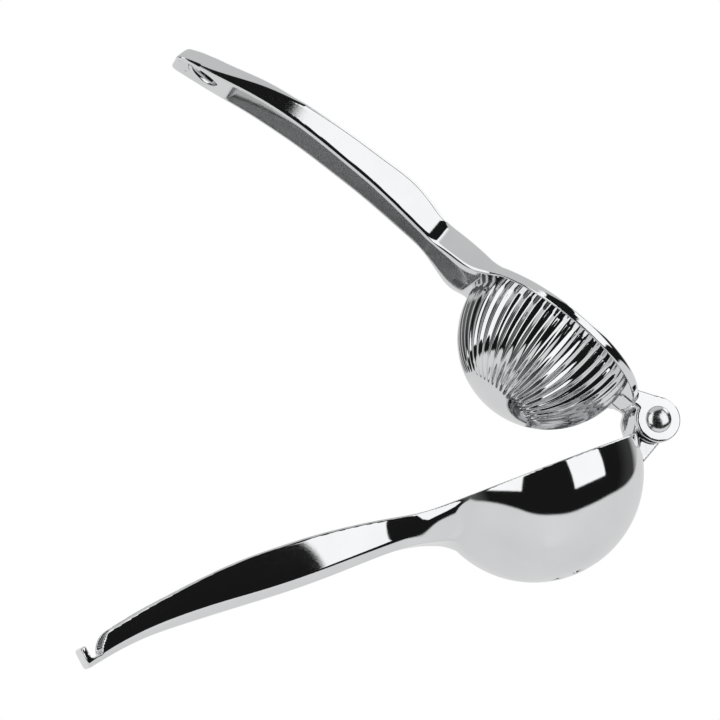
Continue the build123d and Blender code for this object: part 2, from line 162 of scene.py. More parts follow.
class SqueezerFinish(bpy.types.PropertyGroup):
    plating: colour("Chrome", (0.86, 0.865, 0.875, 1.0), "Colour of the bright plating")
    plating_shade: colour("Chrome, thin", (0.74, 0.745, 0.755, 1.0), "Colour where it is thin")
    plating_gloss: share("Plating roughness", 0.045, "Roughness of the polished plating")
    rivet_gloss: share("Rivet roughness", 0.20, "Roughness of the rivet's heads")
    # Painted shade: a darker plating colour laid into the channel recesses by the recess mask
    cast_shade: colour("Cast recess", (0.62, 0.625, 0.63, 1.0), "Plating in unpolished recesses")
    cast_gloss: share("Recess roughness", 0.36, "Roughness in unpolished recesses")
    washer_steel: colour("Washer steel", (0.60, 0.61, 0.62, 1.0), "Colour of the washers")


class SqueezerStage(bpy.types.PropertyGroup):
    floor_tone: colour("Floor", (0.80, 0.80, 0.80, 1.0), "Colour of the studio floor")
    camera_place: FloatVectorProperty(
        name="Camera place", description="Where the camera stands", size=3,
        default=(-0.193730, -0.813868, -0.014718), subtype="TRANSLATION", unit="LENGTH")
    camera_turn: FloatVectorProperty(
        name="Camera turn", description="How the camera is turned", size=3,
        default=[math.radians(a) for a in (96.6874, 10.9126, -12.3227)],
        subtype="EULER", unit="ROTATION")
    camera_lens: FloatProperty(name="Lens", description="Focal length in millimetres",
                               default=130.0, min=10.0)


# ---- working with smooth solids: negative inside, positive outside, millimetres ----

def both(a, b, blend):
    """Inside both shapes, with the edge between them rounded over the blend width."""
    mix = np.clip(0.5 + 0.5 * (a - b) / blend, 0.0, 1.0)
    return b + (a - b) * mix + blend * mix * (1.0 - mix)


def either(a, b, blend):
    """Inside either shape, with a fillet of the blend width where they meet."""
    return -both(-a, -b, blend)


def without(a, b, blend):
    return both(a, -b, blend)


def spline_table(stations, values, soften):
    """Even (x, value) samples of the smooth curve through the stations, lightly softened."""
    order = np.argsort(stations)
    xs, ys = np.asarray(stations, float)[order], np.asarray(values, float)[order]
    gaps = np.diff(xs)
    rows = len(xs)
    matrix, right = np.eye(rows), np.zeros(rows)
    for i in range(1, rows - 1):
        matrix[i, i - 1:i + 2] = gaps[i - 1], 2 * (gaps[i - 1] + gaps[i]), gaps[i]
        right[i] = 6 * ((ys[i + 1] - ys[i]) / gaps[i] - (ys[i] - ys[i - 1]) / gaps[i - 1])
    bend = np.linalg.solve(matrix, right)
    step = 0.1
    even = np.arange(xs[0], xs[-1] + step, step)
    i = np.clip(np.searchsorted(xs, even) - 1, 0, rows - 2)
    a, b = (xs[i + 1] - even) / gaps[i], (even - xs[i]) / gaps[i]
    curve = a * ys[i] + b * ys[i + 1]
    curve += ((a ** 3 - a) * bend[i] + (b ** 3 - b) * bend[i + 1]) * gaps[i] ** 2 / 6
    reach = int(4 * soften / step)
    weights = np.exp(-0.5 * (np.arange(-reach, reach + 1) * step / soften) ** 2)
    low = curve[0] + (curve[0] - curve[1]) * np.arange(reach, 0, -1)
    high = curve[-1] + (curve[-1] - curve[-2]) * np.arange(1, reach + 1)
    padded = np.concatenate([low, curve, high])
    return even, np.convolve(padded, weights / weights.sum(), mode="valid")


def rail(stations, values, soften=2.5):
    """The same curve as a function of x."""
    even, curve = spline_table(stations, values, soften)
    return lambda x: np.interp(x, even, curve)


def plate_outline(points, a, b, blend):
    """A convex outline whose points run anticlockwise."""
    gap = None
    for p, q in zip(points, points[1:] + points[:1]):
        run, rise = q[0] - p[0], q[1] - p[1]
        side = ((a - p[0]) * rise - (b - p[1]) * run) / math.hypot(run, rise)
        gap = side if gap is None else both(gap, side, blend)
    return gap


class Casting:
    """Sizes shared by both arms, in millimetres, taken from the panel's values."""

    def __init__(self, shape):
        for name in shape.bl_rna.properties.keys():
            prop = shape.bl_rna.properties[name]
            if prop.type in ("FLOAT", "INT") and not prop.is_readonly:
                value = getattr(shape, name)
                setattr(self, name, value * 1000 if prop.unit == "LENGTH" else value)
        self.hinge_x = self.bowl_radius + self.hinge_offset
        span = self.upper_reach - self.bowl_radius
        self.at = lambda part: -(self.bowl_radius + part * span)
        self.lean = math.tan(self.lip_lean)

    def turned(self, n, opened):
        """Directions drawn with the arms closed, as they point on the floor."""
        turn = (self.opening if opened else 0.0) - self.tilt
        c, s = math.cos(turn), math.sin(turn)
        return np.stack([n[:, 0] * c + n[:, 2] * s, n[:, 1], -n[:, 0] * s + n[:, 2] * c], 1)

    def to_row(self, p, opened):
        """Points drawn with the arms closed, as they stand on the floor, in metres."""
        middle = np.array([self.hinge_x, 0.0, self.hinge_rise])
        return (self.turned(p - middle, opened) + HINGE) * MM

    def from_hinge(self, x, z):
        return np.hypot(x - self.hinge_x, z - self.hinge_rise)


class LowerArm(Casting):
    """Bowl, tongue and the channel handle with its upturned lip."""

    KEEL_RATIO = 0.78
    DRAFT = math.tan(math.radians(2.0))     # the side walls draw in towards the crease
    BELLY = 0.25                            # and bulge by this much in the middle
    END_CHANNEL = 8.8                       # the channel's least half width, at its end
    LIP_THICKNESS = 2.0
    SCOOP_PLACE, SCOOP_RADIUS = 13.0, 8.0   # the walls' rounded ends, measured from the lip
    WEB_DROP = 11.0                         # how far down the bowl the tongue's web reaches
    NEST_PLAY = 0.5                         # between the upper handle and the lower one's wall
    BORE_PLAY = 0.05                        # between the rivet and the tongue's bore
    DRAIN_REACH = 10.0                      # how far inside the bowl the drills start
    # The recess mask, with its rougher finish and its painted shade, stops this far from the lip.
    POLISHED_END = 11.0                     # length at the lip that the wheel does reach
    opened = False

    def __init__(self, shape):
        super().__init__(shape)
        nest = self.NEST_PLAY + self.handle_wall
        self.step, self.detail = self.lower_step, (-144.0, -141.0, -45.0, -42.0)
        self.neck = -(self.bowl_radius - FLARE_INSET)
        rows = [(self.neck, FLARE_ROW[0], STATIONS[0][4], *FLARE_ROW[1:])]
        rows += [(self.at(r[0]), r[1] + nest - r[7], r[4], r[5], r[6]) for r in STATIONS]
        rows += [(self.at(r[0]), *r[1:]) for r in LOWER_END] + [(-self.arm_reach, *LIP_ROW)]
        xs, width, edge, crease, keel = zip(*rows)
        self.width, self.edge = rail(xs, width, 1.6), rail(xs, edge)
        self.crease, self.keel = rail(xs, crease), rail(xs, keel)
        self.foot = LIP_ROW[-1]
        holes = np.arange(self.drain_holes) + 0.5
        turn = 2 * np.pi * holes / max(self.drain_holes, 1)
        down = math.asin(self.drain_ring_radius / self.bowl_radius)
        self.drains = [(-math.sin(down) * math.cos(a), -math.sin(down) * math.sin(a),
                        -math.cos(down)) for a in turn]
        radius, eye = self.bowl_radius, self.tongue_radius
        self.low = np.array([-self.arm_reach, -radius, -radius]) - ROOM
        self.high = np.array([self.hinge_x + eye, radius, self.hinge_rise + eye]) + ROOM

    def section(self, x, ay, z, wall, floor, soft):
        """The handle's cross-section, or its channel's where wall and floor are not zero."""
        w = self.width(x) - wall
        if wall:
            w = np.where(x < self.at(0.9), np.maximum(w, self.END_CHANNEL), w)
        keel = self.keel(x) + floor
        crease = np.maximum(self.crease(x), keel + 0.4)
        flank = w
        if not wall:
            half = np.maximum(self.edge(x) - crease, 2.0) / 2
            middle = (z - crease) / half - 1
            flank = w - self.DRAFT * half * (1 - middle) - self.BELLY * middle ** 2
            w = w - 2 * self.DRAFT * half - self.BELLY
        rise, run = crease - keel, (1 - self.KEEL_RATIO) * w
        bevel = ((ay - w) * rise - (z - crease) * run) / np.hypot(rise, run)
        side = both(ay - flank, bevel, soft)
        return both(side, keel - z, soft)

    def lip_plane(self, x, z, depth):
        """Positive past the lip's outside (or, with a depth, past its inside)."""
        outside = -self.arm_reach - (z - self.foot) * self.lean
        return (outside + depth - x) / math.hypot(1, self.lean)

    def channel(self, x, y, z):
        ay = np.abs(y)
        hollow = self.section(x, ay, z, self.handle_wall, self.floor_thickness, 1.2)
        hollow = both(hollow, x - self.at(0.02), 2.0)
        return both(hollow, self.lip_plane(x, z, self.LIP_THICKNESS), 1.0)

    def tongue(self, x, ay, z):
        """A round eye on a web that grows out of the bowl."""
        r, inner = self.tongue_radius, self.bowl_wall / 2
        root = math.sqrt(self.bowl_radius ** 2 - self.WEB_DROP ** 2) - inner
        hx, hz = self.hinge_x, self.hinge_rise
        corners = [(root, -self.WEB_DROP), (hx + r * 0.5, hz - r * 0.8),
                   (hx - r * 0.75, hz + r * 0.6), (self.bowl_radius - inner, -0.2)]
        outline = either(self.from_hinge(x, z) - r, plate_outline(corners, x, z, 0.3), 1.0)
        return both(outline, ay - self.tongue_width / 2, 0.8)

    def below_scoop(self, x, z):
        """What is left at the lip's end, where the walls are scooped away."""
        middle = self.SCOOP_PLACE - self.arm_reach
        crown = self.edge(middle) - self.SCOOP_RADIUS
        floor = self.keel(self.LIP_THICKNESS - self.arm_reach) + self.floor_thickness + 0.4
        keep = either(np.hypot(x - middle, z - crown) - self.SCOOP_RADIUS, middle - x, 0.01)
        keep = either(keep, z - floor, 0.6)
        return either(keep, -self.lip_plane(x, z, self.LIP_THICKNESS), 0.6)

    def field(self, x, y, z):
        ay = np.abs(y)
        ball = np.sqrt(x * x + y * y + z * z)
        near_bowl = np.clip((x - self.at(0.12)) / (self.at(0.0) - self.at(0.12)), 0, 1)
        handle = self.section(x, ay, z, 0.0, 0.0, 0.6 + 0.3 * near_bowl)
        handle = both(handle, x - self.neck, 1.0)
        handle = both(handle, self.lip_plane(x, z, 0.0), 0.6)
        body = either(ball - self.bowl_radius, handle, 1.6 + 3.0 * np.clip(-1 - z / 6, 0, 1))
        top = np.where(x < -self.bowl_radius, self.edge(x), self.edge(-self.bowl_radius))
        body = both(body, z - top, 0.45 + 0.4 * np.clip(-4 - x / 10, 0, 1))
        body = either(body, self.tongue(x, ay, z), 1.2)
        body = without(body, ball - (self.bowl_radius - self.bowl_wall), 0.5)
        body = without(body, self.channel(x, y, z), 0.5)
        body = both(body, self.below_scoop(x, z), 0.5)
        for nx, ny, nz in self.drains:
            along = x * nx + y * ny + z * nz
            off = np.sqrt(np.maximum(ball * ball - along * along, 0.0)) - self.drain_hole_radius
            body = without(body, both(off, self.DRAIN_REACH - along, 0.5), 0.7)
        return without(body, self.from_hinge(x, z) - self.pin_radius - self.BORE_PLAY, 0.2)

    def recess(self, x, y, z):
        """One in the channel, which the polishing wheel does not reach: rougher plating there, and
        a darker colour that is painted shade.
        """
        deep = np.clip(1.0 - self.channel(x, y, z) / 0.8, 0.0, 1.0)
        return deep * np.clip((x + self.arm_reach - self.POLISHED_END) / 2.0, 0.0, 1.0)


class UpperArm(Casting):
    """Flange, hinge lugs and the inverted channel handle with its hanging slot."""

    BEVEL_SLOPE = 0.84, 1.32                # height of the back's bevel over its width, both ends
    BEVEL_GROWS = 0.64, 0.93                # shares of the way between which it grows
    NECK_END = 0.115                        # share of the way at which the walls are thin
    NOSE_SLANT = 0.2                        # how much the end face leans in towards the back
    NOSE_FALL = 1.6                         # how far the back bends down at the nose
    SLOT_TAPER = 0.12                       # how much the slot draws in towards the back
    LUG_LEAN = math.radians(35)             # where the web leaves the lug's eye
    WEB_ROOT = 5.0                          # how far inside the flange's edge the web begins
    DRAFT = math.tan(math.radians(1.0))     # the side walls draw in towards the back
    opened = True

    def __init__(self, shape):
        super().__init__(shape)
        self.step, self.detail = self.upper_step, (-129.0, -127.0, -46.0, -44.0)
        self.flange_top = self.flange_seat + self.flange_thickness
        self.neck = -(self.bowl_radius - FLARE_INSET)
        rows = [(self.neck, FLARE_WIDTH, self.flange_top - 0.4, self.flange_seat)]
        rows += [(self.at(r[0]), r[1], r[2], r[3]) for r in STATIONS]
        (x0, _, b0, r0), (x1, w1, b1, r1) = rows[-2:]
        run = (self.upper_reach + x1) / (x0 - x1)
        nose_back, nose_rim = b1 + run * (b1 - b0) - self.NOSE_FALL, r1 + run * (r1 - r0)
        rows.append((-self.upper_reach, w1, nose_back, nose_rim))
        xs, width, back, rim = zip(*rows)
        self.width, self.back, self.rim = rail(xs, width, 1.6), rail(xs, back), rail(xs, rim)
        self.hollow = self.dome_radius - self.dome_wall
        radius = self.bowl_radius
        self.low = np.array([-self.upper_reach, -radius, min(rim) - 1.5]) - ROOM
        self.high = np.array([self.hinge_x + self.lug_radius, radius, max(back) + 1.0]) + ROOM

    def bevel(self, x):
        """Width of the back's bevel, and its height over its width."""
        start, full = self.at(self.BEVEL_GROWS[0]), self.at(self.BEVEL_GROWS[1])
        part = np.clip((start - x) / (start - full), 0.0, 1.0)
        slope = np.interp(part, (0, 1), self.BEVEL_SLOPE)
        return self.top_bevel + part * (self.tip_bevel - self.top_bevel), slope

    def wall(self, x):
        end, neck = self.at(self.NECK_END), self.at(0.0)
        part = np.clip((x - end) / (neck - end), 0.0, 1.0)
        return self.handle_wall + part * (self.neck_wall - self.handle_wall)

    def bar(self, x, ay, z, wall, roof, drop, soft):
        """The side and back of the handle, or of its channel's hollow."""
        w, back = self.width(x) - wall, self.back(x) - roof
        flank = w if roof else w - self.DRAFT * (z - self.rim(x))
        cut, slope = self.bevel(x)
        bevel = ((ay - w + cut - drop) * slope + z - back) / np.hypot(slope, 1.0)
        return both(both(ay - flank, bevel, soft), z - back, soft)

    def channel(self, x, y, z):
        hollow = self.bar(x, np.abs(y), z, self.wall(x), self.floor_thickness,
                          self.top_bevel / 2, 1.0)
        hollow = both(hollow, x - self.at(-0.04), 1.5)
        return both(hollow, -(self.upper_reach - self.tab_length) - x, 1.5)

    def nose(self, x, ay, z):
        """The handle's end face with its rounded corners."""
        r, end, half = self.nose_radius, -self.upper_reach, self.width(-self.upper_reach)
        slant = self.NOSE_SLANT * np.maximum(z - self.rim(end), 0.0)
        dx, dy = end + r - x + slant, ay - (half - r)
        gap = np.hypot(np.maximum(dx, 0), np.maximum(dy, 0)) - r
        gap = gap + np.minimum(np.maximum(dx, dy), 0)
        return np.where(x < end + 2 * r, gap, -5.0)

    def lugs(self, x, ay, z):
        """Both lugs: a round eye on a web that grows out of the flange."""
        r, hx, hz = self.lug_radius, self.hinge_x, self.hinge_rise
        root = self.flange_radius - self.WEB_ROOT
        top = hx - r * math.sin(self.LUG_LEAN), hz + r * math.cos(self.LUG_LEAN)
        corners = [(root, self.flange_seat), (hx - r * 0.98, self.flange_seat), (hx, hz), top,
                   (root, self.flange_top)]
        outline = either(self.from_hinge(x, z) - r, plate_outline(corners, x, z, 0.3), 0.8)
        middle, half = (self.lug_inner + self.lug_outer) / 2, (self.lug_outer - self.lug_inner) / 2
        return both(outline, np.abs(ay - middle) - half, 0.7)

    def slot(self, x, y, z):
        """The oval hanging slot, with its bevelled mouth."""
        middle = self.slot_inset - self.upper_reach
        along, rim = x - middle, self.rim(middle)
        a, b = self.slot_length / 2, self.slot_width / 2
        ring = np.maximum(np.hypot(along / a, y / b), 0.05)
        gap = ring * (ring - 1) / np.hypot(along / a ** 2, y / b ** 2 + 1e-6)
        gap = gap + self.SLOT_TAPER * np.maximum(z - rim, 0.0)
        mouth = (gap + z - rim - self.slot_chamfer) / math.sqrt(2)
        return either(gap, mouth, 0.5)

    def field(self, x, y, z):
        ay = np.abs(y)
        handle = self.bar(x, ay, z, 0.0, 0.0, 0.0, 0.8)
        handle = both(handle, self.rim(x) - z, 1.4)
        handle = both(handle, x - self.neck, 1.0)
        handle = both(handle, self.nose(x, ay, z), 0.8)
        around = np.hypot(x, y)
        flange = both(both(around - self.flange_radius, z - self.flange_top, 1.8),
                      self.flange_seat - z, 0.5)
        body = either(flange, handle, 1.5)
        body = both(body, self.hollow - around, 0.8)
        body = without(body, self.channel(x, y, z), 0.5)
        body = either(body, self.lugs(x, ay, z), 1.0)
        body = without(body, self.slot(x, y, z), 0.7)
        return without(body, self.from_hinge(x, z) - self.pin_radius, 0.2)

    def recess(self, x, y, z):
        # The channel's inside: rougher plating there, and a darker colour that is painted shade.
        return np.clip(1.0 - self.channel(x, y, z) / 0.8, 0.0, 1.0)


def grid_line(start, end, places, steps):
    """Values from start to end, whose spacing follows the steps given at some places."""
    line = [start]
    while line[-1] < end:
        line.append(line[-1] + float(np.interp(line[-1], places, steps)))
    return np.array(line)


def slopes(arm, p, reach=0.02):
    """The field at the points, and its slope."""
    steps = np.eye(3) * reach
    slope = [arm.field(*(p + step).T) - arm.field(*(p - step).T) for step in steps]
    return arm.field(*p.T), np.stack(slope, 1) / (2 * reach)


def skin(arm):
    """Points, quads and outward normals of the arm's surface, drawn closed, in millimetres."""
    step, run = arm.step, arm.run_step
    along = grid_line(arm.low[0], arm.high[0], arm.detail, (step, run, run, step))
    axes = [along] + [np.arange(a, b + step, step) for a, b in zip(arm.low[1:], arm.high[1:])]
    values = np.empty([len(a) for a in axes], np.float32)
    slab = 32
    for start in range(0, len(axes[0]), slab):
        part = axes[0][start:start + slab]
        values[start:start + slab] = arm.field(part[:, None, None], axes[1][None, :, None],
                                               axes[2][None, None, :])
    cells = np.array(values.shape) - 1
    ids, crossings, quads = [], [], []
    # An edge of the grid that crosses the surface gives a quad between the four cells round it.
    for axis in range(3):
        a, b = np.moveaxis(values, axis, 0)[:-1], np.moveaxis(values, axis, 0)[1:]
        a, b = np.moveaxis(a, 0, axis), np.moveaxis(b, 0, axis)
        crossed = (a < 0) != (b < 0)
        at, a, b = np.argwhere(crossed), a[crossed], b[crossed]
        place = at.astype(float)
        place[:, axis] += a / (a - b)
        ring = []
        for du, dv in ((0, 0), (-1, 0), (-1, -1), (0, -1)):
            cell = at.copy()
            cell[:, (axis + 1) % 3] += du
            cell[:, (axis + 2) % 3] += dv
            ring.append(np.ravel_multi_index(cell.T, cells))
        ids += ring
        crossings += [place] * 4
        ring = np.stack(ring, 1)
        quads.append(np.where((a < 0)[:, None], ring, ring[:, ::-1]))
    # Each cell's point starts in the middle of its crossings.
    used, index = np.unique(np.concatenate(ids), return_inverse=True)
    quads = np.searchsorted(used, np.concatenate(quads))
    crossings, counts = np.concatenate(crossings), np.bincount(index)
    p = [np.bincount(index, crossings[:, k]) / counts for k in range(3)]
    p = np.stack([np.interp(p[k], np.arange(len(axes[k])), axes[k]) for k in range(3)], 1)
    # Then it moves onto the surface, by no more than half a cell at a time.
    for _ in range(5):
        value, slope = slopes(arm, p)
        move = -slope * (value / np.maximum((slope ** 2).sum(1), 0.04))[:, None]
        far = np.linalg.norm(move, axis=1) / (0.5 * step)
        p = p + move / np.maximum(far, 1.0)[:, None]
    normals = slopes(arm, p)[1]
    normals /= np.maximum(np.linalg.norm(normals, axis=1), 1e-9)[:, None]
    across = np.cross(p[quads[:, 2]] - p[quads[:, 0]], p[quads[:, 3]] - p[quads[:, 1]])
    if (across * normals[quads[:, 0]]).sum() < 0:
        quads = quads[:, ::-1]
    return p, quads, normals


def mesh_piece(name, points, faces, normals=None, material=None):
    mesh = bpy.data.meshes.new(name)
    mesh.from_pydata([tuple(p) for p in points.tolist()], [], [tuple(f) for f in faces])
    mesh.shade_smooth()
    if normals is not None:
        mesh.normals_split_custom_set_from_vertices([tuple(n) for n in normals.tolist()])
    mesh.update()
    piece = bpy.data.objects.new(name, mesh)
    bpy.context.scene.collection.objects.link(piece)
    if material is not None:
        mesh.materials.append(material)
    return piece


def casting_piece(name, arm, material):
    """One cast arm as a mesh, with an attribute that marks its unpolished recesses, where the
    plating is rougher and painted shade darkens its colour.
    """
    points, quads, normals = skin(arm)
    piece = mesh_piece(name, arm.to_row(points, arm.opened), quads.tolist(),
                       arm.turned(normals, arm.opened), material)
    mask = piece.data.attributes.new("recess", "FLOAT", "POINT")
    mask.data.foreach_set("value", arm.recess(*points.T).astype(np.float32))
    return piece


def lathe(profile, segments):
    """Points and faces of a closed turned solid. The profile runs from pole to pole."""
    points, faces = [(0.0, profile[0][1], 0.0)], []
    for radius, height in profile[1:-1]:
        for k in range(segments):
            a = 2 * math.pi * k / segments
            points.append((radius * math.cos(a), height, radius * math.sin(a)))
    points.append((0.0, profile[-1][1], 0.0))
    rings = len(profile) - 2
    for k in range(segments):
        n = (k + 1) % segments
        faces.append((0, 1 + k, 1 + n))
        for ring in range(rings - 1):
            a, b = 1 + ring * segments, 1 + (ring + 1) * segments
            faces.append((a + k, b + k, b + n, a + n))
        last = 1 + (rings - 1) * segments
        faces.append((len(points) - 1, last + n, last + k))
    return np.array(points), faces


# ---- materials ----

def new_material(name):
    material = bpy.data.materials.new(name)
    material.use_nodes = True
    tree = material.node_tree
    tree.nodes.clear()
    output = tree.nodes.new("ShaderNodeOutputMaterial")
    shader = tree.nodes.new("ShaderNodeBsdfPrincipled")
    tree.links.new(shader.outputs["BSDF"], output.inputs["Surface"])
    return material, tree, shader


def node(tree, kind, inputs=(), **settings):
    made = tree.nodes.new(kind)
    for key, value in settings.items():
        setattr(made, key, value)
    for key, value in dict(inputs).items():
        if isinstance(value, bpy.types.NodeSocket):
            tree.links.new(value, made.inputs[key])
        else:
            made.inputs[key].default_value = value
    return made


def maths(tree, operation, *values):
    return node(tree, "ShaderNodeMath", dict(enumerate(values)), operation=operation).outputs[0]


def spread(tree, value, low, high, start=0.0, end=1.0, ease="LINEAR"):
    """The value, stretched from start to end onto low to high, and held there outside them."""
    return node(tree, "ShaderNodeMapRange", {
        "Value": value, "From Min": start, "From Max": end, "To Min": low, "To Max": high},
        interpolation_type=ease, clamp=True).outputs["Result"]


def noise(tree, where, scale, detail):
    return node(tree, "ShaderNodeTexNoise", {"Vector": where, "Scale": scale,
                                             "Detail": detail}).outputs["Fac"]


def mixed(tree, share, first, second):
    """The first colour where the share is 0, and the second one where it is 1."""
    return node(tree, "ShaderNodeMix", {0: share, 6: first, 7: second},
                data_type="RGBA").outputs[2]


def metal(tree, shader, tone, rough, bump):
    for name, value in (("Base Color", tone), ("Roughness", rough), ("Normal", bump)):
        tree.links.new(value, shader.inputs[name])
    shader.inputs["Metallic"].default_value = 1.0


def chrome(name, finish, gloss, recessed):
    """Bright plating over a polished casting: faint clouds, fine wheel marks, dull recesses that
    are rougher and darkened with painted shade.
    """
    material, tree, shader = new_material(name)
    where = node(tree, "ShaderNodeTexCoord").outputs["Object"]
    clouds = noise(tree, where, 60.0, 3.0)
    tone = mixed(tree, clouds, finish.plating_shade, finish.plating)
    marks = node(tree, "ShaderNodeMapping", {"Vector": where, "Scale": (1.0, 14.0, 3.0)})
    wheel = noise(tree, marks.outputs["Vector"], 900.0, 2.0)
    rough = spread(tree, wheel, gloss * 0.6, gloss * 1.6, 0.35, 0.75)
    height = maths(tree, "MULTIPLY", wheel, 0.0025)
    if recessed:
        # Painted shade: the recess mask darkens the colour here; it also roughens and pits the
        # plating there.
        mask = node(tree, "ShaderNodeAttribute", attribute_name="recess").outputs["Fac"]
        tone = mixed(tree, mask, tone, finish.cast_shade)
        cast = spread(tree, clouds, finish.cast_gloss * 0.7, finish.cast_gloss * 1.4)
        rough = node(tree, "ShaderNodeMix", {0: mask, 2: rough, 3: cast}).outputs[0]
        pits = maths(tree, "MULTIPLY", noise(tree, where, 1400.0, 4.0), mask)
        height = maths(tree, "MULTIPLY_ADD", pits, 0.05, height)
    bump = node(tree, "ShaderNodeBump", {"Height": height, "Strength": 1.0, "Distance": 0.001})
    metal(tree, shader, tone, rough, bump.outputs["Normal"])
    return material


def turned_steel(name, finish):
    """Plain steel with the ring marks of turning about the hinge."""
    material, tree, shader = new_material(name)
    where = node(tree, "ShaderNodeTexCoord").outputs["Object"]
    centred = node(tree, "ShaderNodeMapping", {"Vector": where, "Location": tuple(-MM * HINGE)})
    rings = node(tree, "ShaderNodeTexWave", {
        "Vector": centred.outputs["Vector"], "Scale": 900.0, "Distortion": 1.5, "Detail": 2.0},
        wave_type="RINGS", rings_direction="Y").outputs["Fac"]
    dark = tuple(0.75 * c for c in finish.washer_steel[:3]) + (1.0,)
    tone = mixed(tree, noise(tree, where, 300.0, 3.0), dark, finish.washer_steel)
    bump = node(tree, "ShaderNodeBump", {"Height": rings, "Strength": 0.3, "Distance": 0.00002})
    metal(tree, shader, tone, spread(tree, rings, 0.22, 0.42), bump.outputs["Normal"])
    return material


# ---- node groups that grow the pieces which repeat ----

class Grower:
    """A geometry node tree with named inputs, and short calls for its maths."""

    def __init__(self, name, inputs):
        self.tree = bpy.data.node_groups.new(name, "GeometryNodeTree")
        self.tree.is_modifier = True
        sockets = self.tree.interface
        sockets.new_socket("Geometry", in_out="OUTPUT", socket_type="NodeSocketGeometry")
        self.entry = self.tree.nodes.new("NodeGroupInput")
        self.exit = self.tree.nodes.new("NodeGroupOutput")
        self.sockets = {}
        for label, kind, text in inputs:
            item = sockets.new_socket(label, in_out="INPUT", socket_type=f"NodeSocket{kind}")
            item.description = text
            self.sockets[label] = item.identifier

    def value(self, name):
        return self.entry.outputs[name]

    def add(self, kind, inputs=(), **settings):
        return node(self.tree, kind, inputs, **settings)

    def maths(self, operation, *values):
        return maths(self.tree, operation, *values)

    def spread(self, value, *settings):
        return spread(self.tree, value, *settings)

    def finish(self, geometry):
        real = self.add("GeometryNodeRealizeInstances", {"Geometry": geometry})
        painted = self.add("GeometryNodeSetMaterial", {
            "Geometry": real.outputs["Geometry"], "Material": self.value("Material")})
        self.tree.links.new(painted.outputs["Geometry"], self.exit.inputs["Geometry"])

    def grow(self, name, values):
        """A plain mesh piece from the tree, with its inputs set."""
        seed = bpy.data.objects.new(name, bpy.data.meshes.new(name))
        bpy.context.scene.collection.objects.link(seed)
        modifier = seed.modifiers.new(name, "NODES")
        modifier.node_group = self.tree
        for key, value in values.items():
            modifier[self.sockets[key]] = value
        graph = bpy.context.evaluated_depsgraph_get()
        grown = bpy.data.meshes.new_from_object(seed.evaluated_get(graph), depsgraph=graph)
        seed.modifiers.remove(modifier)
        seed.data = grown
        return seed


def dome_grower():
    """A fluted half ball with a smooth cap, hollow inside, closed round its brim."""
    g = Grower("Fluted dome", (
        ("Radius", "Float", "Outside radius over the ribs"),
        ("Hollow", "Float", "Inside radius"),
        ("Flutes", "Int", "Grooves round the dome"),
        ("Flute Depth", "Float", "Depth of each groove"),
        ("Flute Start", "Float", "Angle from the pole where the grooves begin"),
        ("Flute Full", "Float", "Angle from the pole where they are full depth"),
        ("Round Steps", "Int", "Points round the dome"),
        ("Rows", "Int", "Rows from pole to pole"),
        ("Material", "Material", "Finish of the dome")))
    brim, turn_in = 0.76, 0.80              # shares of the rows at which the brim is crossed
    grid = g.add("GeometryNodeMeshGrid", {
        "Size X": 1.0, "Size Y": 1.0, "Vertices X": g.value("Round Steps"),
        "Vertices Y": g.value("Rows")})
    place = g.add("ShaderNodeSeparateXYZ", {0: g.add("GeometryNodeInputPosition").outputs[0]})
    round_part = g.maths("ADD", place.outputs["X"], 0.5)
    row_part = g.maths("ADD", place.outputs["Y"], 0.5)
    turn = g.maths("MULTIPLY", round_part, 2 * math.pi)
    down = g.spread(row_part, 0.0, math.pi / 2, 0.0, brim)
    back = g.spread(row_part, 0.0, math.pi / 2, turn_in, 1.0)
    angle = g.maths("SUBTRACT", down, back)
    inward = g.spread(row_part, 0.0, 1.0, brim, turn_in)
    wave = g.maths("COSINE", g.maths("MULTIPLY", turn, g.value("Flutes")))
    groove = g.maths("POWER", g.maths("MULTIPLY_ADD", wave, 0.5, 0.5), 0.8)
    fade_in = g.spread(angle, 0.0, 1.0, g.value("Flute Start"), g.value("Flute Full"), "SMOOTHSTEP")
    fade_out = g.spread(angle, 1.0, 0.8, math.radians(82), math.radians(89), "SMOOTHSTEP")
    fade = g.maths("MULTIPLY", fade_in, fade_out)
    depth = g.maths("MULTIPLY", g.maths("MULTIPLY", groove, fade), g.value("Flute Depth"))
    outside = g.maths("SUBTRACT", g.value("Radius"), depth)
    gap = g.maths("SUBTRACT", g.value("Hollow"), outside)
    radius = g.maths("MULTIPLY_ADD", gap, inward, outside)
    flat = g.maths("MULTIPLY", radius, g.maths("SINE", angle))
    point = g.add("ShaderNodeCombineXYZ", {
        "X": g.maths("MULTIPLY", flat, g.maths("COSINE", turn)),
        "Y": g.maths("MULTIPLY", flat, g.maths("SINE", turn)),
        "Z": g.maths("MULTIPLY", g.maths("MULTIPLY", radius, g.maths("COSINE", angle)), -1.0)})
    bent = g.add("GeometryNodeSetPosition", {
        "Geometry": grid.outputs["Mesh"], "Position": point.outputs["Vector"]})
    closed = g.add("GeometryNodeMergeByDistance", {
        "Geometry": bent.outputs["Geometry"], "Distance": 0.000002})
    smooth = g.add("GeometryNodeSetShadeSmooth", {"Geometry": closed.outputs["Geometry"]})
    g.finish(smooth.outputs["Geometry"])
    return g


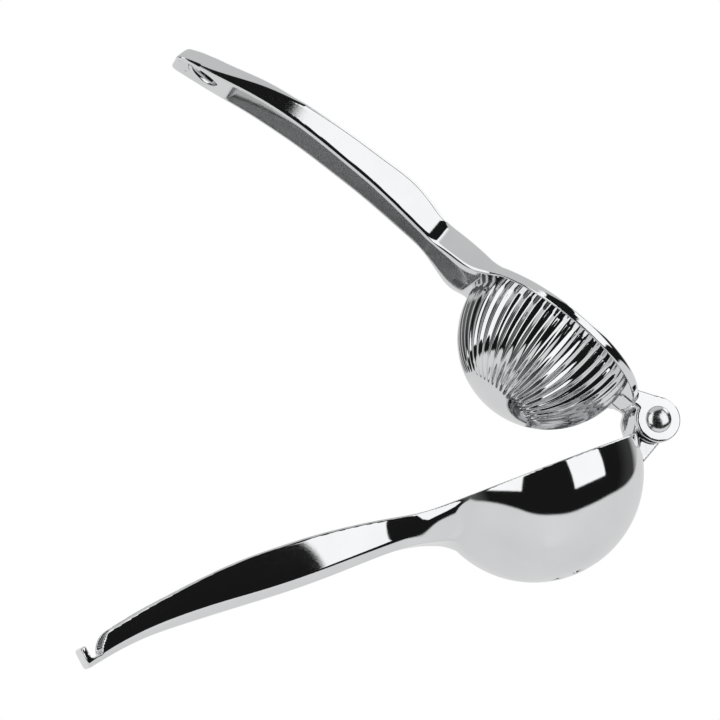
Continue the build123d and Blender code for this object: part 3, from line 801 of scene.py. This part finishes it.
def washer_grower():
    """Thin rings with rounded edges, one on each side of the middle plane."""
    g = Grower("Hinge washers", (
        ("Bore", "Float", "Radius of the hole"),
        ("Radius", "Float", "Outside radius"),
        ("Thickness", "Float", "Thickness of each washer"),
        ("Spacing", "Float", "Distance between the middles of the two washers"),
        ("Count", "Int", "Washers along the pin"),
        ("Steps", "Int", "Points round each washer"),
        ("Material", "Material", "Finish of the washers")))
    width = g.maths("SUBTRACT", g.value("Radius"), g.value("Bore"))
    middle = g.maths("MULTIPLY", g.maths("ADD", g.value("Radius"), g.value("Bore")), 0.5)
    profile = g.add("GeometryNodeCurvePrimitiveQuadrilateral", {
        "Width": width, "Height": g.value("Thickness")})
    rounded = g.add("GeometryNodeFilletCurve", {
        "Curve": profile.outputs["Curve"], "Radius": g.maths("MULTIPLY", g.value("Thickness"), 0.3),
        "Count": 3}, mode="POLY")
    path = g.add("GeometryNodeCurvePrimitiveCircle", {
        "Resolution": g.value("Steps"), "Radius": middle})
    ring = g.add("GeometryNodeCurveToMesh", {
        "Curve": path.outputs["Curve"], "Profile Curve": rounded.outputs["Curve"]})
    offset = g.add("ShaderNodeCombineXYZ", {"Y": g.value("Spacing")})
    start = g.add("ShaderNodeCombineXYZ", {"Y": g.maths("MULTIPLY", g.value("Spacing"), -0.5)})
    places = g.add("GeometryNodeMeshLine", {
        "Count": g.value("Count"), "Start Location": start.outputs["Vector"],
        "Offset": offset.outputs["Vector"]})
    row = g.add("GeometryNodeInstanceOnPoints", {
        "Points": places.outputs["Mesh"], "Instance": ring.outputs["Mesh"],
        "Rotation": (math.pi / 2, 0.0, 0.0)})
    real = g.add("GeometryNodeRealizeInstances", {"Geometry": row.outputs["Instances"]})
    smooth = g.add("GeometryNodeSetShadeSmooth", {"Geometry": real.outputs["Geometry"]})
    g.finish(smooth.outputs["Geometry"])
    return g


def move_mesh(piece, where):
    """Moves a grown mesh's points, given in metres, with a function of points."""
    count = len(piece.data.vertices)
    flat = np.empty(count * 3, np.float32)
    piece.data.vertices.foreach_get("co", flat)
    flat = where(flat.reshape(-1, 3).astype(float))
    piece.data.vertices.foreach_set("co", flat.astype(np.float32).ravel())
    piece.data.update()


# ---- operators ----

def chosen(context):
    """The shape and the finish that are set in the panel."""
    return context.scene.squeezer_shape, context.scene.squeezer_finish


class SQUEEZER_OT_stage(bpy.types.Operator):
    """Sets up the floor, the soft lamps, the studio that the chrome reflects, and the camera"""
    bl_idname = "squeezer.stage"
    bl_label = "Stage and camera"
    bl_options = {"REGISTER", "UNDO"}

    def execute(self, context):
        scene, stage = context.scene, context.scene.squeezer_stage
        scene.view_settings.view_transform = "Standard"
        data = bpy.data.cameras.new("camera")
        camera = bpy.data.objects.new("camera", data)
        scene.collection.objects.link(camera)
        camera.location, camera.rotation_euler = stage.camera_place, stage.camera_turn
        data.lens, data.sensor_width = stage.camera_lens, 36.0
        data.clip_start, data.clip_end = 0.05, 20.0
        scene.camera = camera
        self.world(scene)
        corners = self.FLOOR_REACH * np.array([(-1, -1, 0), (1, -1, 0), (1, 1, 0), (-1, 1, 0)])
        floor_mesh = mesh_piece("studio_floor", corners, [(0, 1, 2, 3)])
        floor_mesh.data.materials.append(self.floor_paint(stage))
        floor_mesh.visible_glossy = False
        self.lamp("key_light", (-0.5, -0.9, 1.5), 0.9, 9.0)
        self.lamp("fill_light", (0.9, -0.6, 1.2), 0.7, 4.0)
        return {"FINISHED"}

    FLOOR_REACH = 3.0
    # What the chrome reflects, in degrees: bearing 0 lies towards -Y and 90 towards +X.
    GROUND = ((-180, 46), (-140, 40), (-110, 8), (-92, -13), (-75, -20), (-60, -27), (-45, -36),
              (-30, -45), (-15, -49.5), (0, -51), (15, -51), (30, -48.5), (45, -43), (60, -36),
              (75, -28), (90, -20.5), (105, -12), (120, -2), (140, 18), (160, 36), (180, 46))
    # Windows: left, right, foot, head, softness, lean of the sides, slope of foot and head.
    RIGHT_WINDOW = 19.5, 60.0, -35.0, 64.0, 0.7, 0.27, -0.33
    LEFT_WINDOW = -66.0, -25.4, -29.0, 46.0, 0.7, -0.38, 0.27
    SIDE_WINDOW = 64.0, 150.0, 20.0, 44.0, 1.5, 0.0, 0.0
    BLACK, CEILING, GLASS, SIDE_GLASS, TABLE_SIDE, TABLE_FRONT = 0.010, 0.62, 1.15, 1.2, 0.74, 0.79
    # Walls beside the black one: the bearings between which each comes in, and its tone.
    WALLS = (84.0, 104.0, 0.045), (110.0, 120.0, 0.50), (-70.0, -100.0, 0.16)

    def world(self, scene):
        """White all round for the camera, and a softbox studio for the chrome to reflect."""
        world = bpy.data.worlds.new("studio")
        scene.world = world
        world.use_nodes = True
        tree = world.node_tree
        tree.nodes.clear()
        toward = node(tree, "ShaderNodeTexCoord").outputs["Generated"]
        part = node(tree, "ShaderNodeSeparateXYZ", {0: toward})

        def calc(operation, *values):
            return maths(tree, operation, *values)

        def step(value, low, high):
            return spread(tree, value, 0.0, 1.0, low, high)

        def over(mask, *tones):
            """The second tone, or colour socket, over the first one where the mask is 1."""
            tones = [(tone, tone, tone, 1.0) if isinstance(tone, float) else tone for tone in tones]
            return mixed(tree, mask, *tones)

        degree = 180 / math.pi
        turned = calc("ARCTAN2", part.outputs["X"], calc("MULTIPLY", part.outputs["Y"], -1.0))
        around = calc("MULTIPLY", turned, degree)
        height = calc("MULTIPLY", calc("ARCSINE", part.outputs["Z"]), degree)

        def window(left, right, foot, head, soft, lean, slope):
            """A mask of a rectangle between two bearings and two heights."""
            side = calc("MULTIPLY_ADD", height, lean, around)
            rise = calc("MULTIPLY_ADD", around, slope, height)
            sides = calc("MULTIPLY", step(side, left - soft, left + soft),
                         step(side, right + soft, right - soft))
            ends = calc("MULTIPLY", step(rise, foot - soft, foot + soft),
                        step(rise, head + soft, head - soft))
            return calc("MULTIPLY", sides, ends)

        edge = node(tree, "ShaderNodeFloatCurve",
                    {"Value": step(around, -180.0, 180.0)}).outputs["Value"]
        curve = edge.node.mapping.curves[0]
        for point in curve.points[1:-1]:
            curve.points.remove(point)
        spots = [(bearing / 360 + 0.5, rise / 180 + 0.5) for bearing, rise in self.GROUND]
        curve.points[0].location, curve.points[-1].location = spots[0], spots[-1]
        for spot in spots[1:-1]:
            curve.points.new(*spot)
        edge.node.mapping.update()
        line = calc("MULTIPLY_ADD", edge, 180.0, -90.0)
        above = step(calc("SUBTRACT", height, line), -1.2, 1.2)
        shade = self.BLACK
        for start, end, tone in self.WALLS:
            shade = over(step(around, start, end), shade, tone)
        top = step(calc("MULTIPLY_ADD", around, -0.22, height), 25.7, 24.3)
        away = calc("MULTIPLY", around, -1.0)
        corner = step(calc("MULTIPLY_ADD", height, 1.43, away), 6.0, 4.2)
        right = calc("MULTIPLY", window(*self.RIGHT_WINDOW), calc("MULTIPLY", top, corner))
        shade = over(right, shade, self.GLASS)
        shade = over(window(*self.LEFT_WINDOW), shade, self.GLASS)
        shade = over(window(*self.SIDE_WINDOW), shade, self.SIDE_GLASS)
        shade = over(step(height, 44.0, 48.0), shade, self.CEILING)
        sideways = calc("ABSOLUTE", calc("ADD", around, -10.0))
        table = over(step(sideways, 110.0, 20.0), self.TABLE_SIDE, self.TABLE_FRONT)
        shade = over(above, table, shade)
        rays = node(tree, "ShaderNodeLightPath").outputs
        mirrored = calc("MAXIMUM", rays["Is Glossy Ray"], rays["Is Transmission Ray"])
        plain = node(tree, "ShaderNodeBackground", {"Color": (1, 1, 1, 1), "Strength": 0.7})
        white = node(tree, "ShaderNodeBackground", {"Color": (1, 1, 1, 1), "Strength": 1.0})
        studio = node(tree, "ShaderNodeBackground", {"Color": shade, "Strength": 1.0})
        mix = node(tree, "ShaderNodeMixShader", {
            0: mirrored, 1: plain.outputs[0], 2: studio.outputs[0]})
        mix = node(tree, "ShaderNodeMixShader", {
            0: rays["Is Camera Ray"], 1: mix.outputs[0], 2: white.outputs[0]})
        output = node(tree, "ShaderNodeOutputWorld")
        tree.links.new(mix.outputs[0], output.inputs["Surface"])

    def floor_paint(self, stage):
        """Pale paint that is solid from above and open from below."""
        material, tree, shader = new_material("studio_floor_paint")
        shader.inputs["Base Color"].default_value = stage.floor_tone
        shader.inputs["Roughness"].default_value = 0.9
        under = node(tree, "ShaderNodeNewGeometry").outputs["Backfacing"]
        clear = node(tree, "ShaderNodeBsdfTransparent")
        mix = node(tree, "ShaderNodeMixShader", {
            0: under, 1: shader.outputs[0], 2: clear.outputs[0]})
        output = tree.get_output_node("ALL")
        tree.links.new(mix.outputs[0], output.inputs["Surface"])
        return material

    def lamp(self, name, place, width, power):
        data = bpy.data.lights.new(name, "AREA")
        data.size, data.energy = width, power
        lamp = bpy.data.objects.new(name, data)
        lamp.location = place
        toward = np.array([0.0, 0.0, 0.08]) - np.array(place)
        lamp.rotation_euler = Vector(toward).to_track_quat("-Z", "Y").to_euler()
        lamp.visible_glossy = False
        bpy.context.scene.collection.objects.link(lamp)


class SQUEEZER_OT_lower_arm(bpy.types.Operator):
    """Casts the bowl, its channel handle and the hinge tongue in one piece"""
    bl_idname = "squeezer.lower_arm"
    bl_label = "Lower arm"
    bl_options = {"REGISTER", "UNDO"}

    def execute(self, context):
        shape, finish = chosen(context)
        paint = chrome("arm_chrome", finish, finish.plating_gloss, True)
        piece = casting_piece("bowl_arm", LowerArm(shape), paint)
        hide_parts("lower_arm")
        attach(piece, "lower")
        return {"FINISHED"}


class SQUEEZER_OT_upper_arm(bpy.types.Operator):
    """Casts the flange, its channel handle and the two hinge lugs in one piece"""
    bl_idname = "squeezer.upper_arm"
    bl_label = "Upper arm"
    bl_options = {"REGISTER", "UNDO"}

    def execute(self, context):
        shape, finish = chosen(context)
        paint = chrome("press_chrome", finish, finish.plating_gloss, True)
        piece = casting_piece("press_arm", UpperArm(shape), paint)
        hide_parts("upper_arm")
        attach(piece, "upper")
        return {"FINISHED"}


class SQUEEZER_OT_dome(bpy.types.Operator):
    """Grows the fluted dome that presses the fruit"""
    bl_idname = "squeezer.dome"
    bl_label = "Fluted dome"
    bl_options = {"REGISTER", "UNDO"}
    STEPS_PER_FLUTE, ROWS = 10, 180

    def execute(self, context):
        shape, finish = chosen(context)
        steps = shape.flutes * self.STEPS_PER_FLUTE + 1
        paint = chrome("dome_chrome", finish, finish.plating_gloss, False)
        piece = dome_grower().grow("fluted_dome", {
            "Radius": shape.dome_radius, "Hollow": shape.dome_radius - shape.dome_wall - 0.00005,
            "Flutes": shape.flutes, "Flute Depth": shape.flute_depth,
            "Flute Start": shape.flute_start, "Flute Full": shape.flute_full,
            "Round Steps": steps, "Rows": self.ROWS, "Material": paint})
        arm = UpperArm(shape)
        lift = np.array([0.0, 0.0, arm.dome_lift])
        move_mesh(piece, lambda p: arm.to_row(p * 1000 + lift, True))
        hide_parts("upper_arm")
        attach(piece, "upper")
        return {"FINISHED"}


class SQUEEZER_OT_rivet(bpy.types.Operator):
    """Turns the hinge pin with its domed head, and the cap that closes its far end"""
    bl_idname = "squeezer.rivet"
    bl_label = "Hinge rivet"
    bl_options = {"REGISTER", "UNDO"}
    ROUND_STEPS = 64
    TAIL, TAIL_CHAMFER = 1.1, 0.2           # the pin's end, inside the cap

    def head_profile(self, arm, rows=28):
        """Half outline of a domed head, from its crown to its brim: a quarter of an ellipse."""
        turns = [math.pi / 2 * k / rows for k in range(rows + 1)]
        return [(arm.head_radius * math.sin(a), arm.head_height * math.cos(a)) for a in turns]

    def execute(self, context):
        shape, finish = chosen(context)
        arm = UpperArm(shape)
        paint = chrome("rivet_chrome", finish, finish.rivet_gloss, False)
        head = self.head_profile(arm)
        seat = np.array([arm.hinge_x, 0.0, arm.hinge_rise])
        near = [(r, -arm.lug_outer - h) for r, h in head]
        shank, end = arm.pin_radius, arm.lug_outer + self.TAIL
        near += [(shank, -arm.lug_outer), (shank, end - self.TAIL_CHAMFER),
                 (shank - self.TAIL_CHAMFER, end), (0.0, end)]
        far = [(0.0, arm.lug_outer)] + [(r, arm.lug_outer + h) for r, h in reversed(head)]
        for name, profile, cad in (("rivet_pin", near, "hinge_pin"), ("rivet_cap", far, "pin_cap")):
            points, faces = lathe(profile, self.ROUND_STEPS)
            piece = mesh_piece(name, arm.to_row(points + seat, True), faces, material=paint)
            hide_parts(cad)
            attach(piece, "upper")
        return {"FINISHED"}


class SQUEEZER_OT_washers(bpy.types.Operator):
    """Grows the two thin washers between the tongue and the lugs"""
    bl_idname = "squeezer.washers"
    bl_label = "Washers"
    bl_options = {"REGISTER", "UNDO"}

    def execute(self, context):
        shape, finish = chosen(context)
        piece = washer_grower().grow("hinge_washers", {
            "Bore": shape.pin_radius + 0.00001, "Radius": shape.washer_radius,
            "Thickness": shape.washer_thickness, "Spacing": 2 * shape.washer_middle, "Count": 2,
            "Steps": 96, "Material": turned_steel("washer_steel", finish)})
        move_mesh(piece, lambda p: p + HINGE * MM)
        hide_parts("washer_near", "washer_far")
        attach(piece, "upper")
        return {"FINISHED"}


MAKERS = (SQUEEZER_OT_stage, SQUEEZER_OT_lower_arm, SQUEEZER_OT_upper_arm, SQUEEZER_OT_dome,
          SQUEEZER_OT_rivet, SQUEEZER_OT_washers)


class SQUEEZER_PT_panel(bpy.types.Panel):
    bl_idname = "SQUEEZER_PT_panel"
    bl_label = "Lemon squeezer"
    bl_space_type = "VIEW_3D"
    bl_region_type = "UI"
    bl_category = "Squeezer"

    def draw(self, context):
        for maker in MAKERS:
            self.layout.operator(maker.bl_idname)
        for group in ("squeezer_shape", "squeezer_finish", "squeezer_stage"):
            values = getattr(context.scene, group)
            box = self.layout.box()
            for name in values.__annotations__:
                box.prop(values, name)


CLASSES = (SqueezerShape, SqueezerFinish, SqueezerStage) + MAKERS + (SQUEEZER_PT_panel,)


def register():
    for item in CLASSES:
        bpy.utils.register_class(item)
    bpy.types.Scene.squeezer_shape = PointerProperty(type=SqueezerShape)
    bpy.types.Scene.squeezer_finish = PointerProperty(type=SqueezerFinish)
    bpy.types.Scene.squeezer_stage = PointerProperty(type=SqueezerStage)


def unregister():
    del bpy.types.Scene.squeezer_stage
    del bpy.types.Scene.squeezer_finish
    del bpy.types.Scene.squeezer_shape
    for item in reversed(CLASSES):
        bpy.utils.unregister_class(item)


def main():
    register()
    for maker in MAKERS:
        group, name = maker.bl_idname.split(".")
        getattr(getattr(bpy.ops, group), name)()


if __name__ == "__main__":
    main()
